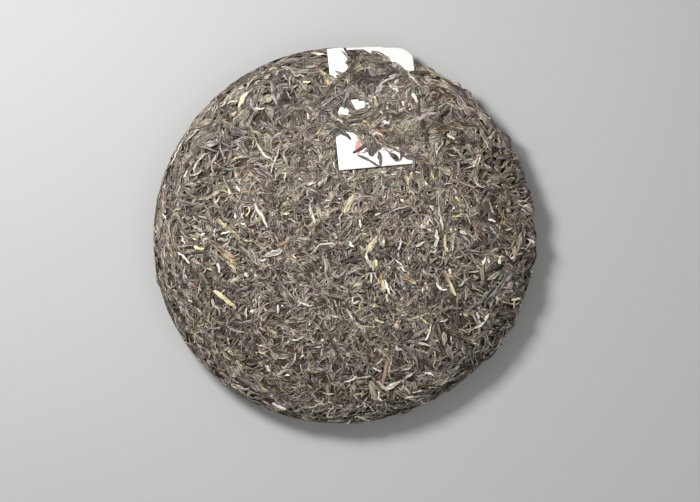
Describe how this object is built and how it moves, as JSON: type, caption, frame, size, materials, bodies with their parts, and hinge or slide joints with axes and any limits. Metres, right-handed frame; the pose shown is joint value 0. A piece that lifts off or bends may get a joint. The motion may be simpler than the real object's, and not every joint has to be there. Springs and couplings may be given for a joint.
{
  "type": "pressed tea cake",
  "caption": "Large round cake of pressed dark tea leaves, domed on the shown face, with a paper ticket pressed in near its edge.",
  "frame": {"origin": "middle of the back, on the plane that the cake lies on", "axes": "+Z out of the shown face, +Y towards the edge with the paper ticket, +X to the right of the shown face"},
  "size_m": [0.3466, 0.3441, 0.0508],
  "materials": {
    "tea_leaves": "rough dry rolled tea leaves, dark grey-brown with cream buds, olive flakes and golden stalks",
    "ticket_paper": "thin matt off-white paper, slightly tea-stained"
  },
  "bodies": {
    "root": {"tea_cake": "tea_leaves", "paper_ticket": "ticket_paper"}
  },
  "joints": []
}
